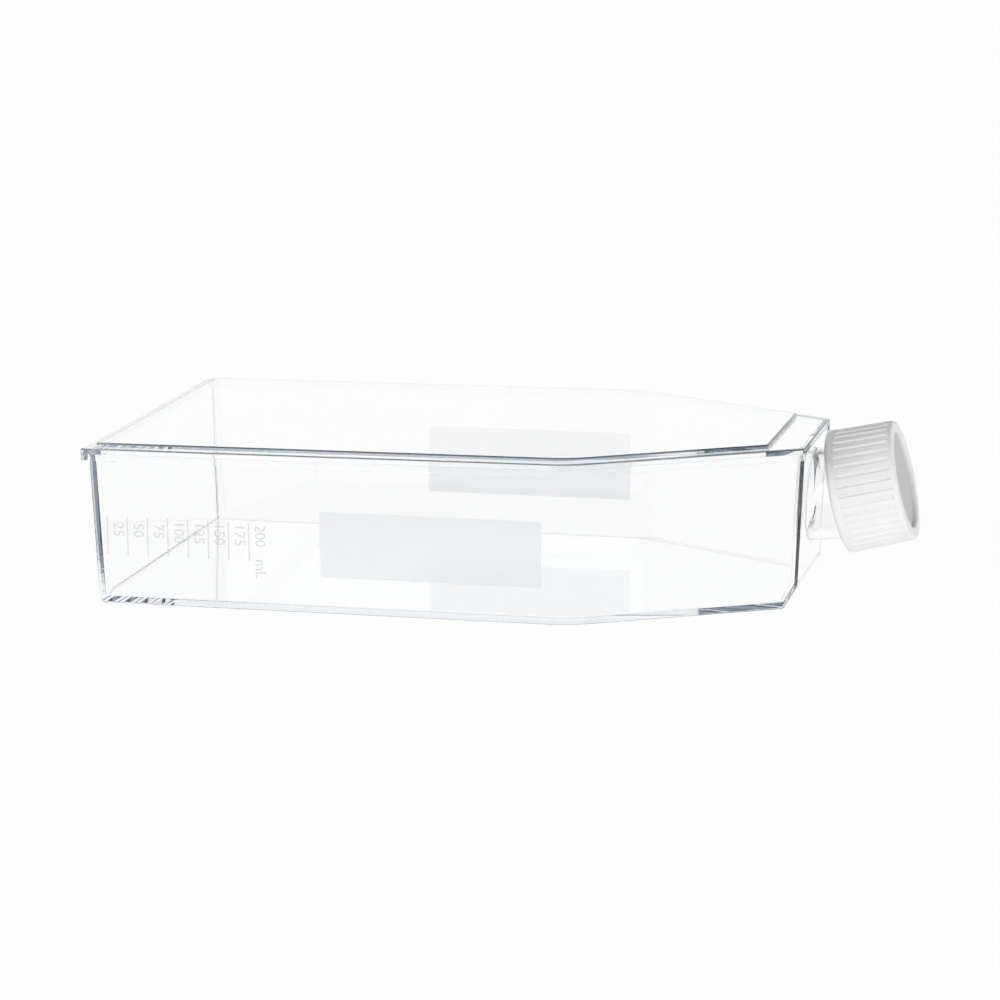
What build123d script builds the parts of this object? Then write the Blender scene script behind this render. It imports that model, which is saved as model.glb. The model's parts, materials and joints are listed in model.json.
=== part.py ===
import os
from math import cos, radians, sin, sqrt, tan

from build123d import *

# A cell culture flask lying on its growth surface: a clear polystyrene tray with
# tapered shoulders and a canted neck, a top plate welded to it, and a ribbed cap
# with a vent membrane and a seal ring. +X runs to the neck and +Z is up. The
# origin is on the plane of the foot, under the middle of the overall length.

# Plan of the welded rim
body_length = 191.5  # rear edge to neck-end edge
body_width = 117.5
shoulder_start = 134.8  # where the sides begin to taper, from the rear edge
end_width = 48.0  # at the neck end
corner_radius = 1.3
inner_corner = 2.6
shoulder_radius = 18.0

# Tray
tray_height = 42.0  # foot to welded seam, at mid-length
seam_tilt = 0.42  # degrees, the seam and the lid rise towards the neck
wall = 1.3
floor_thickness = 1.5
foot_height = 0.25  # holds the growth surface clear of the bench
foot_width = 1.8
foot_round = 0.5
draft_angle = 2.4  # degrees, on every wall
rear_ledge = 1.9  # the rim's overhang past the wall, at the seam
side_ledge = 1.25
end_ledge = 0.2
bevel_rise = 5.6  # the end wall slopes in above the foot, to pour clean
bevel_run = 3.3
bevel_round = 3.4
inner_bend = 3.0  # over the bevel, inside
inner_round = 0.5  # growth surface to walls

# Top plate
plate_thickness = 1.6
rim_height = 3.3  # the skirt laps over the wall
seam_gap = 0.15  # skirt to wall
panel_rise = 1.05
panel_rear = 3.3  # the panel's edge from the rim's edge
panel_side = 3.8
panel_end = 9.5
rim_round = 0.5

# Neck
neck_tilt = 13.0  # degrees above the bench
neck_radius = 12.7
neck_wall = 1.9
neck_drop = 0.5  # its axis at the rim's end edge, below the middle of its root
neck_straight = 5.5  # rim's end edge to where the root has turned into the canted tube
root_gap = 1.0  # below the skirt
mouth_chamfer = 0.4

# Cap
cap_start = 6.3  # rim's end edge to the cap's open edge, along the axis
cap_length = 18.7
cap_thread_gap = 1.6  # neck to skirt, where the thread runs
cap_wall = 2.65  # at the open edge, over the band
cap_narrowing = 0.45  # smaller in radius at the closed end
cap_round = 0.9  # both outer edges are rounded off in two flats
band_open = 2.6  # the plain bands either side of the ribs
band_closed = 1.3
rib_count = 39
rib_height = 0.55
rib_crest = 1.5  # a rib's width at its crest
rib_foot = 2.1
rib_sink = 0.05  # crests below the bands
web_thickness = 1.4
recess_depth = 1.5
recess_rim = 3.3  # width of the ring round the recess
recess_chamfer = 0.35

# Membrane, on the floor of the recess, and seal ring, under the web
membrane_gap = 0.3  # to the wall of the recess
membrane_thickness = 0.3
seal_thickness = 1.3
seal_gap = 0.3  # to the skirt
seal_margin = 0.6  # past the mouth, inwards
vent_margin = 0.7  # the web's vent is smaller than the ring
seat_gap = 0.1  # mouth to ring

# Places that follow
tilt = radians(neck_tilt)
lean = radians(seam_tilt)
wall_growth = tray_height * tan(radians(draft_angle))
foot_rear = rear_ledge + wall_growth
foot_side = side_ledge + wall_growth
foot_end = end_ledge + wall_growth
floor_top = foot_height + floor_thickness
skirt_foot = plate_thickness - rim_height  # from the seam
neck_bore_radius = neck_radius - neck_wall
cap_stop = cap_start + cap_length
cap_bore_radius = neck_radius + cap_thread_gap
cap_open_radius = cap_bore_radius + cap_wall
cap_closed_radius = cap_open_radius - cap_narrowing
recess_radius = cap_closed_radius - recess_rim
recess_floor = cap_stop - recess_depth
web_under = recess_floor - web_thickness
seal_radius = neck_bore_radius - seal_margin
vent_radius = seal_radius - vent_margin
neck_reach = web_under - seal_thickness - seat_gap


def cap_corner(radius, reach, inward):
    # an outer edge of the cap, rounded off in two flats, from the end face to the skirt
    set_back = cap_round * (1 - cos(radians(45)))
    return [
        (radius - cap_round, reach),
        (radius - set_back, reach + inward * set_back),
        (radius, reach + inward * cap_round),
    ]


closed_corner = cap_corner(cap_closed_radius, cap_stop, -1)
overall_length = body_length + max(reach * cos(tilt) + radius * sin(tilt) for radius, reach in closed_corner)
rear_x = -overall_length / 2
end_x = rear_x + body_length
seam_place = Location((0, 0, tray_height), (0, -seam_tilt, 0))
root_height = tray_height + end_x * tan(lean) + skirt_foot - root_gap - neck_radius
neck_height = root_height - neck_drop
shoulder_slope = (body_width - end_width) / 2 / (body_length - shoulder_start)

neck_origin = Vector(end_x, 0, neck_height)
neck_dir = Vector(cos(tilt), 0, sin(tilt))
neck_axis = Axis(neck_origin, neck_dir)
# for turned profiles: x is the distance from the neck's axis, y runs along it
profile_plane = Plane(neck_origin, x_dir=(0, 1, 0), z_dir=(sin(tilt), 0, -cos(tilt)))


def neck_plane(reach):
    # square to the neck, reach along its axis from the rim's end edge
    return Plane(neck_origin + neck_dir * reach, x_dir=(0, 1, 0), z_dir=neck_dir)


def plan(level, rear, side, end, corner=corner_radius):
    # the flask's outline at a level, set in from the rim's edge on each side;
    # a corner of 0 leaves it sharp all round
    slant = sqrt(1 + shoulder_slope**2)
    half = body_width / 2 - side
    turn_x = rear_x + shoulder_start - side * (slant - 1) / shoulder_slope
    last_x = end_x - end
    last_half = end_width / 2 + shoulder_slope * end - slant * side
    with BuildSketch(Plane.XY.offset(level)) as outline:
        with BuildLine():
            Polyline(
                (rear_x + rear, half),
                (turn_x, half),
                (last_x, last_half),
                (last_x, -last_half),
                (turn_x, -half),
                (rear_x + rear, -half),
                close=True,
            )
        make_face()
        if corner:
            fillet(outline.vertices().group_by(Axis.X)[1], shoulder_radius)
            fillet(outline.vertices().group_by(Axis.X)[0], corner)
            fillet(outline.vertices().group_by(Axis.X)[-1], corner)
    return outline.sketch


def bevel_wedge(foot_x):
    # what the sloping foot of the end wall leaves out, drawn from the side
    with BuildSketch(Plane.XZ) as wedge:
        with BuildLine():
            Polyline(
                (foot_x, 0),
                (foot_x + 3 * bevel_run, 3 * bevel_rise),
                (foot_x + 3 * bevel_run, 0),
                close=True,
            )
        make_face()
    return wedge.sketch


def shape_walls(block, foot_x, bend, shoulder, corner):
    # drafts the walls below the seam, rounds the edges between them and slopes the end wall's foot
    draft(block.faces().filter_by(Axis.Z, reverse=True), Plane.XY.offset(tray_height), -draft_angle)
    fillet(block.edges().group_by(Axis.Z)[1].group_by(Axis.X)[1], shoulder)
    fillet(block.edges().group_by(Axis.Z)[1].group_by(Axis.X)[0], corner)
    extrude(bevel_wedge(foot_x), amount=body_width / 2, both=True, mode=Mode.SUBTRACT)
    end_wall = block.faces().sort_by(Axis.X)[-1]
    fillet(end_wall.edges().filter_by(Axis.Y).sort_by(Axis.Z)[0], bend)
    end_wall = block.faces().sort_by(Axis.X)[-1]
    fillet(end_wall.edges().filter_by(Axis.Y, reverse=True), corner)


os.makedirs("parts", exist_ok=True)

# The space inside the tray, from the growth surface to above the seam
block_height = tray_height + body_length * sin(lean)
bevel_foot_x = end_x - foot_end - bevel_run
bevel_wall = wall * sqrt(bevel_rise**2 + bevel_run**2) / bevel_rise

with BuildPart() as chamber:
    extrude(
        plan(floor_top, rear_ledge + wall, side_ledge + wall, end_ledge + wall, corner=0),
        amount=block_height - floor_top,
    )
    shape_walls(chamber, bevel_foot_x - bevel_wall, inner_bend, shoulder_radius - wall, inner_corner)
    fillet(chamber.edges().group_by(Axis.Z)[0], inner_round)

# Tray and neck, moulded as one
with BuildPart() as flask_body:
    extrude(plan(0, rear_ledge, side_ledge, end_ledge, corner=0), amount=block_height)
    shape_walls(flask_body, bevel_foot_x, bevel_round, shoulder_radius, corner_radius)
    fillet(flask_body.edges().group_by(Axis.Z)[0], foot_round)
    with BuildSketch(Plane(seam_place)):
        Rectangle(2 * body_length, 2 * body_width)
    extrude(amount=block_height, mode=Mode.SUBTRACT)

    # the neck's root is upright in the end wall and turns into the canted tube
    with BuildSketch(Plane.YZ.offset(end_x - foot_end)):
        with Locations((0, root_height)):
            Circle(neck_radius)
    with BuildSketch(neck_plane(neck_straight)):
        Circle(neck_radius)
    loft()
    with BuildSketch(neck_plane(neck_straight)):
        Circle(neck_radius)
    extrude(amount=neck_reach - neck_straight)

    # hollow the tray, then open the neck into it
    add(chamber.part, mode=Mode.SUBTRACT)
    with BuildSketch(Plane.YZ.offset(end_x - foot_end - wall)):
        with Locations((0, root_height)):
            Circle(neck_bore_radius)
    with BuildSketch(neck_plane(neck_straight)):
        Circle(neck_bore_radius)
    loft(mode=Mode.SUBTRACT)
    with BuildSketch(neck_plane(neck_straight)):
        Circle(neck_bore_radius)
    extrude(amount=neck_reach - neck_straight, mode=Mode.SUBTRACT)
    chamfer(flask_body.edges().filter_by(GeomType.CIRCLE).sort_by(neck_axis)[-2:], mouth_chamfer)

    # the foot stands proud of the growth surface all round
    extrude(
        plan(
            0,
            foot_rear + foot_width,
            foot_side + foot_width,
            foot_end + bevel_run + foot_width,
            corner_radius - 1,
        ),
        amount=foot_height,
        mode=Mode.SUBTRACT,
    )
flask_body.part.label = "flask_body"

# Top plate, with its skirt and raised panel, drawn from the seam and laid on it
with BuildPart() as level_plate:
    extrude(plan(skirt_foot, 0, 0, 0), amount=rim_height)
    fillet(level_plate.edges().group_by(Axis.Z)[-1], rim_round)
    extrude(plan(plate_thickness, panel_rear, panel_side, panel_end), amount=panel_rise)
    fillet(level_plate.edges().group_by(Axis.Z)[-1], rim_round)
    # under it, the wall's top edge sits inside the skirt, which is open at the neck end
    extrude(
        plan(
            skirt_foot,
            rear_ledge - seam_gap,
            side_ledge - seam_gap,
            -plate_thickness,
        ),
        amount=rim_height - plate_thickness,
        mode=Mode.SUBTRACT,
    )
    extrude(
        plan(
            0,
            panel_rear + plate_thickness,
            panel_side + plate_thickness,
            panel_end + plate_thickness,
            corner_radius - 1,
        ),
        amount=panel_rise,
        mode=Mode.SUBTRACT,
    )
top_plate = level_plate.part.moved(seam_place)
top_plate.label = "top_plate"

# Cap: a turned shell with ribs between two plain bands
def cap_radius(reach):
    return cap_open_radius - cap_narrowing * (reach - cap_start) / cap_length


def rib_section(reach):
    # flat-sided, narrower at the crest, its foot sunk a little in the skirt
    crest = cap_radius(reach) - rib_sink
    foot = cap_radius(reach) - rib_height
    spread = (rib_foot - rib_crest) / (foot - crest)
    root = foot - rib_height / 2
    with BuildSketch(neck_plane(reach)) as section:
        with BuildLine():
            Polyline(
                (-crest, rib_crest / 2),
                (-root, (rib_crest + spread * (root - crest)) / 2),
                (-root, -(rib_crest + spread * (root - crest)) / 2),
                (-crest, -rib_crest / 2),
                close=True,
            )
        make_face()
    return section.sketch


with BuildPart() as rib:
    add(rib_section(cap_start + band_open - rib_height / 2))
    add(rib_section(cap_stop - band_closed + rib_height / 2))
    loft()

with BuildPart() as cap_shell:
    lower = cap_start + band_open
    upper = cap_stop - band_closed
    with BuildSketch(profile_plane):
        with BuildLine():
            Polyline(
                (cap_bore_radius, cap_start),
                *cap_corner(cap_open_radius, cap_start, 1),
                (cap_radius(lower), lower),
                (cap_radius(lower) - rib_height, lower),
                (cap_radius(upper) - rib_height, upper),
                (cap_radius(upper), upper),
                *reversed(closed_corner),
                (recess_radius + recess_chamfer, cap_stop),
                (recess_radius, cap_stop - recess_chamfer),
                (recess_radius, recess_floor),
                (vent_radius, recess_floor),
                (vent_radius, web_under),
                (cap_bore_radius, web_under),
                close=True,
            )
        make_face()
    revolve(axis=neck_axis)
    for turn in range(rib_count):
        add(rib.part.rotate(neck_axis, turn * 360 / rib_count))
cap_shell.part.label = "cap_shell"

with BuildPart() as vent_membrane:
    with BuildSketch(neck_plane(recess_floor)):
        Circle(recess_radius - membrane_gap)
    extrude(amount=membrane_thickness)
vent_membrane.part.label = "vent_membrane"

with BuildPart() as seal_ring:
    with BuildSketch(neck_plane(web_under)):
        Circle(cap_bore_radius - seal_gap)
        Circle(seal_radius, mode=Mode.SUBTRACT)
    extrude(amount=-seal_thickness)
seal_ring.part.label = "seal_ring"

for piece in (flask_body.part, top_plate, cap_shell.part, vent_membrane.part, seal_ring.part):
    export_step(piece, f"parts/{piece.label}.step")
    print(piece.label, piece.is_valid, len(piece.solids()), round(piece.volume, 1))
print("overall length", round(overall_length, 3))
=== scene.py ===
import json
import math

import bmesh
import bpy
from mathutils import Matrix, Vector


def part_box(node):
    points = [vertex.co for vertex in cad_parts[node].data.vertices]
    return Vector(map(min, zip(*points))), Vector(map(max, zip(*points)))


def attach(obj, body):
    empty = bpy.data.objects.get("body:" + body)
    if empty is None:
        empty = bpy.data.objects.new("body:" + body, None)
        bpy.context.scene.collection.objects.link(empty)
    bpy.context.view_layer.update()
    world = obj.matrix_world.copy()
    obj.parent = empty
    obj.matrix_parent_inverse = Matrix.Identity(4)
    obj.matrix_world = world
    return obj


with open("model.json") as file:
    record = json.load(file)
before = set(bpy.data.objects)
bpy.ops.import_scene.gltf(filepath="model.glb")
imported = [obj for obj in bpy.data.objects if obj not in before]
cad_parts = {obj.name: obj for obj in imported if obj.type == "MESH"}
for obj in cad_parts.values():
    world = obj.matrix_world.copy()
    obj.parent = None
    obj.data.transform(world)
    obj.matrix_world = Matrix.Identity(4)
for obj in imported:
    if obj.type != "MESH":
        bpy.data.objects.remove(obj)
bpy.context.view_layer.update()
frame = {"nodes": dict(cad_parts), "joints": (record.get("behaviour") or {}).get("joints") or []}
nodes = frame["nodes"]
joints = {joint["name"]: joint for joint in frame["joints"]}

neckAxis = Vector(joints["cap_turn"]["axis"]).normalized()
neckStart = Vector(joints["cap_turn"]["pos_m"])  # on the axis, level with the rim's end edge
travel = joints["cap_lift"]["range_m"][1]
turned = math.radians(joints["cap_turn"]["range_deg"][1])
threadLead = travel / turned * 2 * math.pi
print("frame loaded:", len(nodes), "nodes, thread lead", round(threadLead * 1000, 2), "mm")


# small helpers for materials
def newMaterial(name, baseColour):
    material = bpy.data.materials.new(name)
    material.use_nodes = True
    tree = material.node_tree
    shader = tree.nodes["Principled BSDF"]
    shader.inputs["Base Color"].default_value = baseColour
    return material, tree, shader


def objectNoise(tree, scale, detail=2.0, roughness=0.5):
    place = tree.nodes.new("ShaderNodeTexCoord")
    noise = tree.nodes.new("ShaderNodeTexNoise")
    noise.inputs["Scale"].default_value = scale
    noise.inputs["Detail"].default_value = detail
    noise.inputs["Roughness"].default_value = roughness
    tree.links.new(place.outputs["Object"], noise.inputs["Vector"])
    return noise.outputs["Fac"]


def mapRange(tree, source, low, high, fromLow=0.3, fromHigh=0.7):
    # noise mostly stays between 0.3 and 0.7, and is spread from low to high
    ramp = tree.nodes.new("ShaderNodeMapRange")
    ramp.inputs["From Min"].default_value = fromLow
    ramp.inputs["From Max"].default_value = fromHigh
    ramp.inputs["To Min"].default_value = low
    ramp.inputs["To Max"].default_value = high
    tree.links.new(source, ramp.inputs["Value"])
    return ramp.outputs["Result"]


def mixColours(tree, factor, first, second):
    mix = tree.nodes.new("ShaderNodeMix")
    mix.data_type = "RGBA"
    mix.inputs[6].default_value = first
    mix.inputs[7].default_value = second
    tree.links.new(factor, mix.inputs[0])
    return mix.outputs[2]


def addBump(tree, shader, source, strength, distance):
    bump = tree.nodes.new("ShaderNodeBump")
    bump.inputs["Strength"].default_value = strength
    bump.inputs["Distance"].default_value = distance
    tree.links.new(source, bump.inputs["Height"])
    tree.links.new(bump.outputs["Normal"], shader.inputs["Normal"])


def varyFinish(tree, shader, pattern, finish):
    # colour and roughness wander between two values with the pattern, which also stands proud
    factor = mapRange(tree, pattern, 0.0, 1.0)
    colours = mixColours(tree, factor, finish["colour"], finish["otherColour"])
    tree.links.new(colours, shader.inputs["Base Color"])
    tree.links.new(mapRange(tree, pattern, *finish["roughness"]), shader.inputs["Roughness"])
    addBump(tree, shader, pattern, finish["bump"], finish["depth"])


def paint(node, material):
    mesh = nodes[node].data
    mesh.materials.clear()
    mesh.materials.append(material)


polystyrene = {
    "colour": (0.994, 0.997, 1.0, 1.0),
    "clear": 0.996,  # the rest is haze
    "ior": 1.59,
    "roughness": (0.0, 0.015),
    "flowScale": 45.0,  # faint waves left by the mould's filling
    "flowDetail": 1.0,
    "flowBump": 0.2,
    "flowDepth": 0.00002,
    "tint": (0.3, 0.6, 0.8, 1.0),
    "tintDensity": 1.0,
}
clearPolystyrene, tree, shader = newMaterial("clearPolystyrene", polystyrene["colour"])
shader.inputs["Transmission Weight"].default_value = polystyrene["clear"]
shader.inputs["IOR"].default_value = polystyrene["ior"]
flow = objectNoise(tree, polystyrene["flowScale"], polystyrene["flowDetail"])
tree.links.new(mapRange(tree, flow, *polystyrene["roughness"]), shader.inputs["Roughness"])
addBump(tree, shader, flow, polystyrene["flowBump"], polystyrene["flowDepth"])
tint = tree.nodes.new("ShaderNodeVolumeAbsorption")
tint.inputs["Color"].default_value = polystyrene["tint"]
tint.inputs["Density"].default_value = polystyrene["tintDensity"]
tree.links.new(tint.outputs[0], tree.nodes["Material Output"].inputs["Volume"])
paint("flask_body", clearPolystyrene)
paint("top_plate", clearPolystyrene)

polyethylene = {
    "colour": (0.9, 0.9, 0.892, 1.0),
    "shade": (0.865, 0.866, 0.868, 1.0),
    "mottle": 70.0,
    "grain": 1100.0,
    "detail": 3.0,
    "roughness": (0.34, 0.48),
    "grainBump": 0.2,
    "grainDepth": 0.00004,
    "glow": 0.3,
    "glowDepth": 0.0012,  # how far light wanders under the skin
}
capPlastic, tree, shader = newMaterial("capPlastic", polyethylene["colour"])
mottle = mapRange(tree, objectNoise(tree, polyethylene["mottle"], polyethylene["detail"]), 0.0, 1.0)
whites = mixColours(tree, mottle, polyethylene["colour"], polyethylene["shade"])
tree.links.new(whites, shader.inputs["Base Color"])
grain = objectNoise(tree, polyethylene["grain"], polyethylene["detail"])
tree.links.new(mapRange(tree, grain, *polyethylene["roughness"]), shader.inputs["Roughness"])
addBump(tree, shader, grain, polyethylene["grainBump"], polyethylene["grainDepth"])
shader.inputs["Subsurface Weight"].default_value = polyethylene["glow"]
shader.inputs["Subsurface Radius"].default_value = (1.0, 1.0, 1.0)
shader.inputs["Subsurface Scale"].default_value = polyethylene["glowDepth"]
paint("cap_shell", capPlastic)

felt = {
    "colour": (0.58, 0.585, 0.6, 1.0),
    "otherColour": (0.7, 0.705, 0.715, 1.0),  # of single fibres
    "scale": 2600.0,
    "detail": 6.0,
    "fineness": 0.7,
    "roughness": (0.7, 0.95),
    "bump": 0.5,
    "depth": 0.00006,
}
membraneFelt, tree, shader = newMaterial("membraneFelt", felt["colour"])
varyFinish(tree, shader, objectNoise(tree, felt["scale"], felt["detail"], felt["fineness"]), felt)
paint("vent_membrane", membraneFelt)

elastomer = {
    "colour": (0.6, 0.58, 0.66, 1.0),
    "bloom": (0.66, 0.64, 0.7, 1.0),
    "scale": 400.0,
    "detail": 3.0,
    "roughness": (0.45, 0.65),
    "bump": 0.2,
    "depth": 0.00003,
}
sealElastomer, tree, shader = newMaterial("sealElastomer", elastomer["colour"])
bloom = objectNoise(tree, elastomer["scale"], elastomer["detail"])
lilacs = mixColours(tree, bloom, elastomer["colour"], elastomer["bloom"])
tree.links.new(lilacs, shader.inputs["Base Color"])
tree.links.new(mapRange(tree, bloom, *elastomer["roughness"]), shader.inputs["Roughness"])
addBump(tree, shader, bloom, elastomer["bump"], elastomer["depth"])
paint("seal_ring", sealElastomer)

frosting = {
    "colour": (0.965, 0.972, 0.985, 1.0),
    "otherColour": (0.94, 0.947, 0.962, 1.0),
    "scale": 3200.0,
    "detail": 4.0,
    "roughness": (0.42, 0.58),
    "bump": 0.3,
    "depth": 0.00003,
    "translucent": 0.9,
    "ior": 1.1,
}
patchFrosting, tree, shader = newMaterial("patchFrosting", frosting["colour"])
varyFinish(tree, shader, objectNoise(tree, frosting["scale"], frosting["detail"]), frosting)
shader.inputs["Transmission Weight"].default_value = frosting["translucent"]
shader.inputs["IOR"].default_value = frosting["ior"]

ink = {
    "colour": (0.5, 0.51, 0.53, 1.0),
    "otherColour": (0.6, 0.61, 0.63, 1.0),  # where it is laid thin
    "scale": 900.0,
    "detail": 4.0,
    "roughness": (0.45, 0.7),
    "bump": 0.2,
    "depth": 0.00001,
    "cover": 0.25,
}
greyInk, tree, shader = newMaterial("greyInk", ink["colour"])
varyFinish(tree, shader, objectNoise(tree, ink["scale"], ink["detail"]), ink)
shader.inputs["Alpha"].default_value = ink["cover"]
print("materials done")

# the long walls lean out by their draft, and the print lies on them
longWall = {"draft": 2.4, "film": 0.00006, "gap": 0.00001}
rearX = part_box("top_plate")[0].x
lean = math.radians(longWall["draft"])
bodyCorners = [vertex.co for vertex in nodes["flask_body"].data.vertices]
wallTop = max(bodyCorners, key=lambda corner: corner.y)
halfAtFoot = wallTop.y - wallTop.z * math.tan(lean)


def wallMatrix(side, x, z, turned=False):
    # local x along the wall, y up it and z out of it, or turned: x down the wall and y to the neck
    outward = Vector((0, side * math.cos(lean), -math.sin(lean)))
    upWall = Vector((0, side * math.sin(lean), math.cos(lean)))
    along = upWall.cross(outward)
    if turned:
        along, upWall = -upWall, Vector((1, 0, 0))
    place = Vector((x, side * (halfAtFoot + z * math.tan(lean)), z))
    return Matrix.Translation(place) @ Matrix((along, upWall, outward)).transposed().to_4x4()


def addPiece(name, mesh, body):
    piece = bpy.data.objects.new(name, mesh)
    bpy.context.scene.collection.objects.link(piece)
    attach(piece, body)
    return piece


# from and to run from the rim's rear edge, low and high from the floor
patches = {
    "writing_patch_front": {
        "side": -1, "from": 0.0662, "to": 0.12665, "low": 0.0100, "high": 0.0280,
    },
    "writing_patch_rear": {
        "side": 1, "from": 0.0687, "to": 0.1286, "low": 0.0122, "high": 0.0302,
    },
}
patchCorner = {"radius": 0.0002, "segments": 2}
for name, patch in patches.items():
    middleX = rearX + (patch["from"] + patch["to"]) / 2
    middleZ = (patch["low"] + patch["high"]) / 2
    length = patch["to"] - patch["from"]
    height = (patch["high"] - patch["low"]) / math.cos(lean)
    work = bmesh.new()
    bmesh.ops.create_cube(work, size=1.0)
    bmesh.ops.scale(work, vec=(length, height, longWall["film"]), verts=work.verts)
    upright = [
        edge for edge in work.edges
        if abs(edge.verts[0].co.z - edge.verts[1].co.z) > longWall["film"] / 2
    ]
    bmesh.ops.bevel(
        work, geom=upright, offset=patchCorner["radius"],
        segments=patchCorner["segments"], affect="EDGES",
    )
    lift = longWall["film"] / 2 + longWall["gap"]
    bmesh.ops.translate(work, vec=(0, 0, lift), verts=work.verts)
    place = wallMatrix(patch["side"], middleX, middleZ)
    bmesh.ops.transform(work, matrix=place, verts=work.verts)
    bmesh.ops.recalc_face_normals(work, faces=work.faces)
    mesh = bpy.data.meshes.new(name)
    work.to_mesh(mesh)
    work.free()
    mesh.materials.append(patchFrosting)
    addPiece(name, mesh, "flask")
print("writing patches done")


# small helpers for geometry nodes
def newTree(name, sizes):
    tree = bpy.data.node_groups.new(name, "GeometryNodeTree")
    tree.interface.new_socket("Geometry", in_out="OUTPUT", socket_type="NodeSocketGeometry")
    for label, kind in sizes.items():
        tree.interface.new_socket(label, in_out="INPUT", socket_type="NodeSocket" + kind)
    return tree, tree.nodes.new("NodeGroupInput"), tree.nodes.new("NodeGroupOutput")


def finishTree(tree, given, taken, grown):
    realize = tree.nodes.new("GeometryNodeRealizeInstances")
    colour = tree.nodes.new("GeometryNodeSetMaterial")
    tree.links.new(grown, realize.inputs["Geometry"])
    tree.links.new(realize.outputs["Geometry"], colour.inputs["Geometry"])
    tree.links.new(given.outputs["Material"], colour.inputs["Material"])
    tree.links.new(colour.outputs["Geometry"], taken.inputs["Geometry"])


def feed(tree, socket, value):
    # a number is set on the socket, and anything else is linked to it
    if isinstance(value, (int, float)):
        socket.default_value = value
    elif value is not None:
        tree.links.new(value, socket)


def calculate(tree, operation, first, second=None):
    maths = tree.nodes.new("ShaderNodeMath")
    maths.operation = operation
    for socket, value in zip(maths.inputs, (first, second)):
        feed(tree, socket, value)
    return maths.outputs[0]


def combine(tree, x=None, y=None, z=None):
    vector = tree.nodes.new("ShaderNodeCombineXYZ")
    for socket, value in zip(vector.inputs, (x, y, z)):
        feed(tree, socket, value)
    return vector.outputs[0]


def growMesh(name, tree, values, matrix):
    # the tree's result as a plain mesh, put in its place
    grower = bpy.data.objects.new(name, bpy.data.meshes.new(name))
    bpy.context.scene.collection.objects.link(grower)
    modifier = grower.modifiers.new(name, "NODES")
    modifier.node_group = tree
    for item in tree.interface.items_tree:
        if item.in_out == "INPUT":
            modifier[item.identifier] = values[item.name]
    depsgraph = bpy.context.evaluated_depsgraph_get()
    mesh = bpy.data.meshes.new_from_object(grower.evaluated_get(depsgraph))
    bpy.data.objects.remove(grower)
    mesh.transform(matrix)
    mesh.name = name
    work = bmesh.new()
    work.from_mesh(mesh)
    bmesh.ops.recalc_face_normals(work, faces=work.faces)
    work.to_mesh(mesh)
    work.free()
    return mesh


graduations = {
    "first": 0.0068,  # from the rim's rear edge
    "spacing": 0.00567,
    "low": 0.0136,
    "high": 0.0242,
    "width": 0.00034,
    "labels": ("25", "50", "75", "100", "125", "150", "175", "200"),
    "unit": "mL",
    "letterHeight": 0.0029,
    "letterOffset": 0.0032,
    "letterLevel": 0.0206,
    "unitLevel": 0.0115,
    "letterCurves": 4,
}
tree, given, taken = newTree("graduationTicks", {
    "Count": "Int", "Spacing": "Float", "Tick Length": "Float",
    "Tick Width": "Float", "Film": "Float", "Material": "Material",
})
line = tree.nodes.new("GeometryNodeMeshLine")
tick = tree.nodes.new("GeometryNodeMeshCube")
row = tree.nodes.new("GeometryNodeInstanceOnPoints")
tickSize = combine(
    tree, given.outputs["Tick Width"], given.outputs["Tick Length"], given.outputs["Film"],
)
tree.links.new(given.outputs["Count"], line.inputs["Count"])
tree.links.new(combine(tree, given.outputs["Spacing"]), line.inputs["Offset"])
tree.links.new(tickSize, tick.inputs["Size"])
tree.links.new(line.outputs["Mesh"], row.inputs["Points"])
tree.links.new(tick.outputs["Mesh"], row.inputs["Instance"])
finishTree(tree, given, taken, row.outputs["Instances"])
tickValues = {
    "Count": len(graduations["labels"]),
    "Spacing": graduations["spacing"],
    "Tick Length": (graduations["high"] - graduations["low"]) / math.cos(lean),
    "Tick Width": graduations["width"],
    "Film": longWall["film"],
    "Material": greyInk,
}
tickLevel = (graduations["low"] + graduations["high"]) / 2
tickPlace = wallMatrix(-1, rearX + graduations["first"], tickLevel)
tickPlace = tickPlace @ Matrix.Translation((0, 0, longWall["film"] / 2 + longWall["gap"]))
ticks = growMesh("graduation_ticks", tree, tickValues, tickPlace)
addPiece("graduation_ticks", ticks, "flask")


def letterMesh(text, height):
    # letters as a thin closed film, centred on the origin
    curve = bpy.data.curves.new(text, "FONT")
    curve.body = text
    curve.align_x = curve.align_y = "CENTER"
    curve.resolution_u = graduations["letterCurves"]
    writer = bpy.data.objects.new(text, curve)
    bpy.context.scene.collection.objects.link(writer)
    depsgraph = bpy.context.evaluated_depsgraph_get()
    letters = bpy.data.meshes.new_from_object(writer.evaluated_get(depsgraph))
    bpy.data.objects.remove(writer)
    work = bmesh.new()
    work.from_mesh(letters)
    bmesh.ops.remove_doubles(work, verts=work.verts, dist=0.0001)
    levels = [vertex.co.y for vertex in work.verts]
    size = height / (max(levels) - min(levels))
    middle = (max(levels) + min(levels)) / 2
    bmesh.ops.translate(work, vec=(0, -middle, 0), verts=work.verts)
    bmesh.ops.scale(work, vec=(size, size, size), verts=work.verts)
    raised = bmesh.ops.extrude_face_region(work, geom=work.faces[:], use_keep_orig=True)["geom"]
    upper = [part for part in raised if isinstance(part, bmesh.types.BMVert)]
    bmesh.ops.translate(work, vec=(0, 0, longWall["film"]), verts=upper)
    bmesh.ops.translate(work, vec=(0, 0, longWall["gap"]), verts=work.verts)
    work.to_mesh(letters)
    work.free()
    return letters


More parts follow.
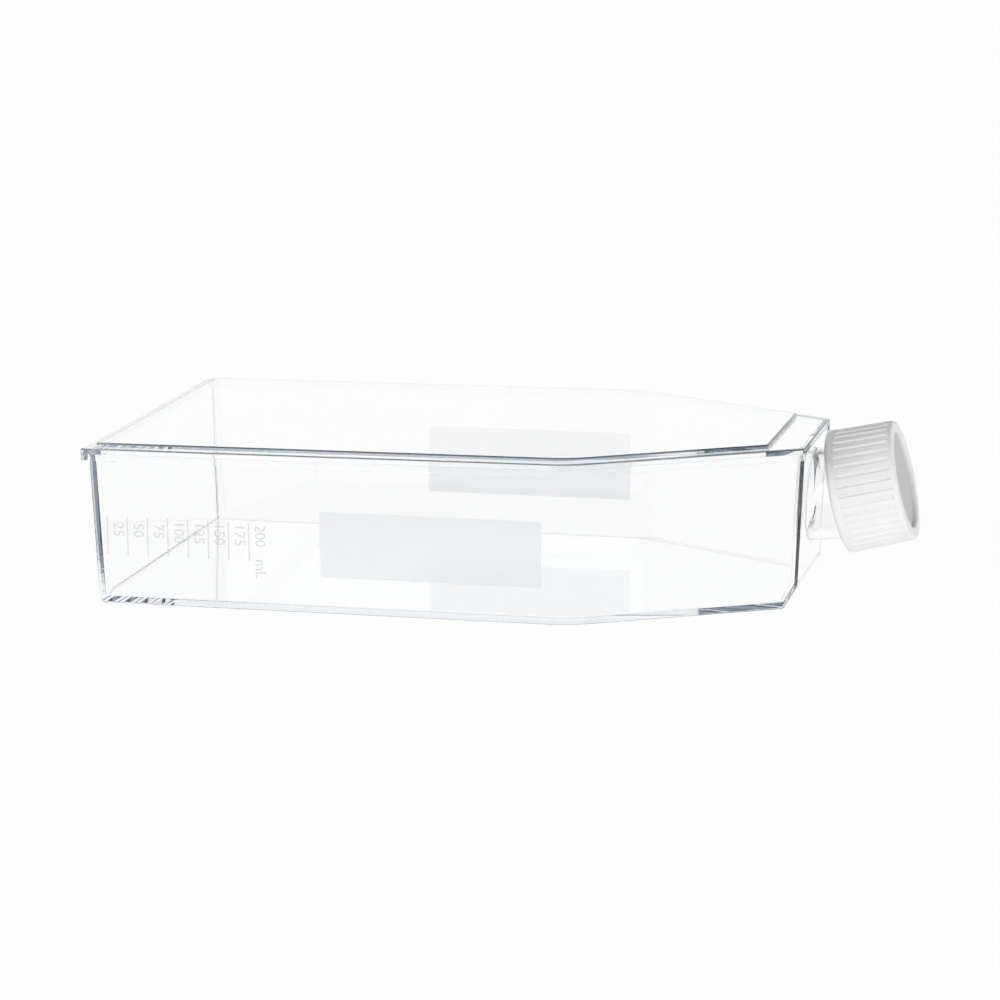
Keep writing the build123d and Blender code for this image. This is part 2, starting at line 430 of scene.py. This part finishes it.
work = bmesh.new()
marks = [
    (text, graduations["first"] + index * graduations["spacing"], graduations["letterLevel"])
    for index, text in enumerate(graduations["labels"])
]
marks.append((graduations["unit"], marks[-1][1], graduations["unitLevel"]))
for text, place, level in marks:
    letters = letterMesh(text, graduations["letterHeight"])
    besideTick = rearX + place + graduations["letterOffset"]
    letters.transform(wallMatrix(-1, besideTick, level, turned=True))
    work.from_mesh(letters)
bmesh.ops.recalc_face_normals(work, faces=work.faces)
mesh = bpy.data.meshes.new("graduation_numbers")
work.to_mesh(mesh)
work.free()
mesh.materials.append(greyInk)
addPiece("graduation_numbers", mesh, "flask")
print("graduations done")

# the ridge of a thread, which runs out at both ends: a positive depth stands out, a negative one in
ridge = {"base": 0.0016, "crest": 0.0007, "runOut": 0.1, "least": 0.05, "steps": 72, "sharp": 35}
tree, given, taken = newTree("threadRidge", {
    "Radius": "Float", "Turns": "Float", "Lead": "Float", "Base Width": "Float",
    "Crest Width": "Float", "Depth": "Float", "Run-out": "Float", "Material": "Material",
})
spiral = tree.nodes.new("GeometryNodeCurveSpiral")
spiral.inputs["Resolution"].default_value = ridge["steps"]
spiral.inputs["Reverse"].default_value = True
upright = tree.nodes.new("GeometryNodeSetCurveNormal")
upright.mode = "Z_UP"
profile = tree.nodes.new("GeometryNodeCurvePrimitiveQuadrilateral")
profile.mode = "TRAPEZOID"
profile.inputs["Offset"].default_value = 0.0
onSurface = tree.nodes.new("GeometryNodeTransform")
turn = tree.nodes.new("GeometryNodeTransform")
turn.inputs["Rotation"].default_value = (0.0, 0.0, -math.pi / 2)
sweep = tree.nodes.new("GeometryNodeCurveToMesh")
sweep.inputs["Fill Caps"].default_value = True
along = tree.nodes.new("GeometryNodeSplineParameter")

for name in ("Start Radius", "End Radius"):
    tree.links.new(given.outputs["Radius"], spiral.inputs[name])
rise = calculate(tree, "MULTIPLY", given.outputs["Turns"], given.outputs["Lead"])
tree.links.new(given.outputs["Turns"], spiral.inputs["Rotations"])
tree.links.new(rise, spiral.inputs["Height"])
depth = given.outputs["Depth"]
toSurface = combine(tree, y=calculate(tree, "MULTIPLY", depth, 0.5))
facing = combine(tree, 1.0, calculate(tree, "SIGN", depth), 1.0)
tree.links.new(given.outputs["Base Width"], profile.inputs["Bottom Width"])
tree.links.new(given.outputs["Crest Width"], profile.inputs["Top Width"])
tree.links.new(calculate(tree, "ABSOLUTE", depth), profile.inputs["Height"])
tree.links.new(profile.outputs["Curve"], onSurface.inputs["Geometry"])
tree.links.new(toSurface, onSurface.inputs["Translation"])
tree.links.new(facing, onSurface.inputs["Scale"])
tree.links.new(onSurface.outputs["Geometry"], turn.inputs["Geometry"])
toOtherEnd = calculate(tree, "SUBTRACT", 1.0, along.outputs["Factor"])
fromEnd = calculate(tree, "MINIMUM", along.outputs["Factor"], toOtherEnd)
taper = calculate(tree, "DIVIDE", fromEnd, given.outputs["Run-out"])
taper = calculate(tree, "MINIMUM", taper, 1.0)
taper = calculate(tree, "MAXIMUM", taper, ridge["least"])
tree.links.new(spiral.outputs["Curve"], upright.inputs["Curve"])
tree.links.new(upright.outputs["Curve"], sweep.inputs["Curve"])
tree.links.new(turn.outputs["Geometry"], sweep.inputs["Profile Curve"])
tree.links.new(taper, sweep.inputs["Scale"])
finishTree(tree, given, taken, sweep.outputs["Mesh"])

threadStart = 0.0088  # on the neck, from the rim's end edge
threads = {
    "neck_thread": {
        "start": threadStart, "from": 0.0, "turns": 1.25, "radius": 0.01265, "depth": 0.00115,
        "body": "flask", "slot": "clear_polystyrene", "material": clearPolystyrene,
    },
    "cap_thread": {
        "start": threadStart - threadLead / 2, "from": 0.35, "turns": 1.3,
        "radius": 0.01435, "depth": -0.00115,
        "body": "cap", "slot": "cap_white", "material": capPlastic,
    },
}
side = Vector((0, 1, 0))
upNeck = neckAxis.cross(side)
axisFrame = Matrix((upNeck.cross(neckAxis), upNeck, neckAxis)).transposed().to_4x4()
for name, thread in threads.items():
    values = {
        "Radius": thread["radius"],
        "Turns": thread["turns"],
        "Lead": threadLead,
        "Base Width": ridge["base"],
        "Crest Width": ridge["crest"],
        "Depth": thread["depth"],
        "Run-out": ridge["runOut"],
        "Material": thread["material"],
    }
    reach = thread["start"] + threadLead * thread["from"]
    place = Matrix.Translation(neckStart + neckAxis * reach) @ axisFrame
    place = place @ Matrix.Rotation(thread["from"] * 2 * math.pi, 4, "Z")
    mesh = growMesh(name, tree, values, place)
    mesh.shade_smooth()
    mesh.set_sharp_from_angle(angle=math.radians(ridge["sharp"]))
    addPiece(name, mesh, thread["body"])
print("threads done")

# a white room, which is dim high overhead and behind the camera
studio = {
    "floorSize": 30.0,
    "paper": 0.92,
    "floorGlow": (0.7, 0.975),  # to scattered light, and as seen
    "low": 2.05,  # light near the horizon, and the least from overhead
    "ceiling": 0.12,
    "ceilingFrom": 0.6,  # heights from 0, level, to 1, straight up
    "front": 1.4,
    "rear": 0.8,
    "seenCeiling": 0.4,  # as reflections and clear plastic see it
    "seenCeilingFrom": (0.25, 0.55),
    "seenBehind": 0.6,
    "seenBehindFrom": (-0.6, -0.4),
    "lostFrom": 12.0,  # bounces, after which light has faded in the walls
    "lostTo": 15.0,
    "lostColour": (0.27, 0.34, 0.42, 1.0),
    "white": (1.0, 1.0, 1.0, 1.0),
}
bpy.ops.mesh.primitive_plane_add(size=studio["floorSize"], location=(0, 0, 0))
floor = bpy.context.active_object
floor.name = "floor"


def seenFactor(tree):
    # one where the camera sees the place, in a reflection or through clear plastic too
    path = tree.nodes.new("ShaderNodeLightPath")
    glossy = path.outputs["Is Glossy Ray"]
    direct = calculate(tree, "MAXIMUM", path.outputs["Is Camera Ray"], glossy)
    return calculate(tree, "MAXIMUM", direct, path.outputs["Is Transmission Ray"])


def lostColour(tree):
    # white, or the colour of light that has gone round in clear walls many times
    path = tree.nodes.new("ShaderNodeLightPath")
    depth = path.outputs["Ray Depth"]
    lost = mapRange(tree, depth, 0.0, 1.0, studio["lostFrom"], studio["lostTo"])
    return mixColours(tree, lost, studio["white"], studio["lostColour"])


floorWhite = bpy.data.materials.new("floorWhite")
floorWhite.use_nodes = True
tree = floorWhite.node_tree
tree.nodes.remove(tree.nodes["Principled BSDF"])
paper = tree.nodes.new("ShaderNodeBsdfDiffuse")
paper.inputs["Color"].default_value = (studio["paper"], studio["paper"], studio["paper"], 1.0)
glow = tree.nodes.new("ShaderNodeEmission")
tree.links.new(lostColour(tree), glow.inputs["Color"])
share = tree.nodes.new("ShaderNodeMixShader")
glowShare = mapRange(tree, seenFactor(tree), *studio["floorGlow"], 0.0, 1.0)
tree.links.new(glowShare, share.inputs[0])
tree.links.new(paper.outputs[0], share.inputs[1])
tree.links.new(glow.outputs[0], share.inputs[2])
tree.links.new(share.outputs[0], tree.nodes["Material Output"].inputs["Surface"])
floor.data.materials.append(floorWhite)

world = bpy.data.worlds.new("studio")
bpy.context.scene.world = world
world.use_nodes = True
tree = world.node_tree
direction = tree.nodes.new("ShaderNodeTexCoord")
parts = tree.nodes.new("ShaderNodeSeparateXYZ")
tree.links.new(direction.outputs["Generated"], parts.inputs[0])
up, back = parts.outputs["Z"], parts.outputs["Y"]
path = tree.nodes.new("ShaderNodeLightPath")

overhead = mapRange(tree, up, studio["low"], studio["ceiling"], 0.0, studio["ceilingFrom"])
allRound = mapRange(tree, back, studio["front"], studio["rear"], -1.0, 1.0)
scattered = calculate(tree, "MULTIPLY", overhead, allRound)
above = mapRange(tree, up, 1.0, studio["seenCeiling"], *studio["seenCeilingFrom"])
behind = mapRange(tree, back, studio["seenBehind"], 1.0, *studio["seenBehindFrom"])
seen = calculate(tree, "MINIMUM", above, behind)
seen = calculate(tree, "MAXIMUM", seen, path.outputs["Is Camera Ray"])
pick = tree.nodes.new("ShaderNodeMix")
tree.links.new(seenFactor(tree), pick.inputs[0])
tree.links.new(scattered, pick.inputs[2])
tree.links.new(seen, pick.inputs[3])
background = tree.nodes["Background"]
tree.links.new(lostColour(tree), background.inputs["Color"])
tree.links.new(pick.outputs[0], background.inputs["Strength"])

softbox = {"place": (-0.5, -1.5, 0.75), "size": 0.9, "power": 3.0}
light = bpy.data.lights.new("softbox", "AREA")
light.size = softbox["size"]
light.energy = softbox["power"]
lamp = bpy.data.objects.new("softbox", light)
bpy.context.scene.collection.objects.link(lamp)
lamp.location = softbox["place"]
lamp.rotation_euler = (-Vector(softbox["place"])).to_track_quat("-Z", "Y").to_euler()

# azimuth goes round from the long front side towards the neck
view = {
    "azimuth": 12.819,
    "elevation": 11.26,
    "roll": -0.044,
    "distance": 1.1139,
    "target": (-0.00699, 0.0, 0.02177),
    "lens": 144.0,
    "sensor": 36.0,
}
azimuth, elevation, roll = (math.radians(view[key]) for key in ("azimuth", "elevation", "roll"))
level = math.cos(elevation)
away = Vector((math.sin(azimuth) * level, -math.cos(azimuth) * level, math.sin(elevation)))
right = (-away).cross(Vector((0, 0, 1))).normalized()
upward = right.cross(-away)
rolledRight = math.cos(roll) * right + math.sin(roll) * upward
rolledUp = math.cos(roll) * upward - math.sin(roll) * right
camera = bpy.data.objects.new("camera", bpy.data.cameras.new("camera"))
bpy.context.scene.collection.objects.link(camera)
place = Matrix.Translation(Vector(view["target"]) + away * view["distance"])
camera.matrix_world = place @ Matrix((rolledRight, rolledUp, away)).transposed().to_4x4()
camera.data.sensor_width = view["sensor"]
camera.data.lens = view["lens"]
bpy.context.scene.camera = camera
bpy.context.scene.view_settings.view_transform = "Standard"

# light goes round many times inside clear walls
bounces = {"max_bounces": 48, "transmission_bounces": 48, "glossy_bounces": 40}
for name, count in bounces.items():
    setattr(bpy.context.scene.cycles, name, count)
print("studio and camera done")
